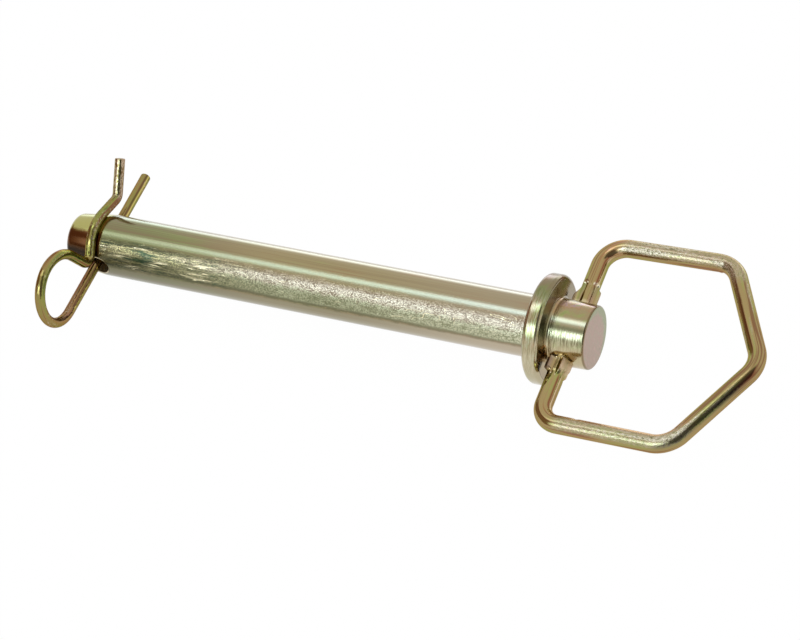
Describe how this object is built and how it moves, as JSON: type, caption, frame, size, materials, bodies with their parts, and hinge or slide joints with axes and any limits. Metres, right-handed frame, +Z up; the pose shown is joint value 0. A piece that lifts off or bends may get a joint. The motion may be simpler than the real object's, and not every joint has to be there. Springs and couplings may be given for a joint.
{
  "type": "hitch pin",
  "caption": "Round steel hitch pin with a collar, a swinging wire pull handle on its head and a wire hairpin clip through its nose.",
  "frame": {"origin": "centre of the footprint, on the table that the set lies on", "axes": "+X along the pin from its nose to its head, +Z up from the table"},
  "size_m": [0.2276, 0.0746, 0.0358],
  "materials": {
    "pin_steel": "yellow zinc plate over turned bar",
    "handle_wire": "yellow zinc plate over drawn wire",
    "clip_wire": "yellow zinc plate over spring wire"
  },
  "bodies": {
    "pin": {"hitch_pin": "pin_steel"},
    "handle": {"handle": "handle_wire"},
    "clip": {"hairpin_clip": "clip_wire"}
  },
  "joints": [
    {"name": "handle_swing", "type": "hinge", "parent": "pin", "child": "handle", "pos_m": [0.05364, 0.00487, 0.01717], "axis": [0.0189, -0.9245, -0.3806], "range_deg": [-170.4, 164.2]},
    {"name": "clip_pull", "type": "slide", "parent": "pin", "child": "clip", "axis": [0.014, -0.9593, -0.282], "range_m": [0, 0.042], "deforming": ["hairpin_clip"]}
  ]
}
